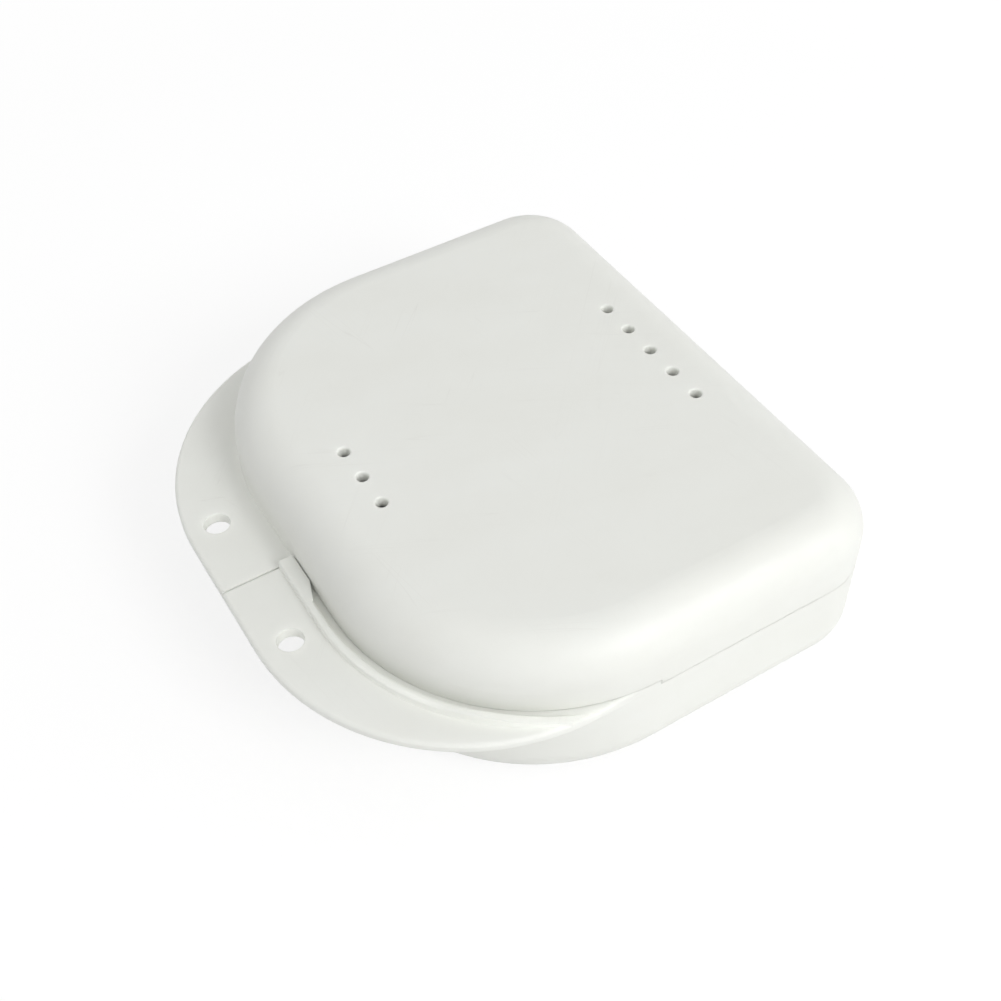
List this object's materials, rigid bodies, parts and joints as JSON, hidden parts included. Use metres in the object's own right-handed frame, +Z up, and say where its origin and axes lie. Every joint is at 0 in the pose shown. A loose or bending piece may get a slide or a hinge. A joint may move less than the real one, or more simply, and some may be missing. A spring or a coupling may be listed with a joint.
{
  "type": "denture case",
  "caption": "Shallow D-shaped hinged case for a denture or dental retainer, with a rounded vented lid and a split front lip with holes.",
  "frame": {"origin": "middle of the overall width and depth, on the surface that the case lies on", "axes": "+X to the right half of the front lip, which is the base's; +Y to the hinge; +Z up through the crown of the lid"},
  "size_m": [0.08, 0.0766, 0.0254],
  "materials": {
    "case_plastic": "injection moulded, softly glossy off-white",
    "pin_steel": "drawn wire, bright"
  },
  "bodies": {
    "base": {"base_shell": "case_plastic", "hinge_pin_left": "pin_steel", "hinge_pin_right": "pin_steel"},
    "lid": {"lid_shell": "case_plastic"}
  },
  "joints": [
    {"name": "lid_hinge", "type": "hinge", "parent": "base", "child": "lid", "pos_m": [0, 0.0361, 0.01515], "axis": [-1, 0, 0], "range_deg": [0, 180]}
  ]
}
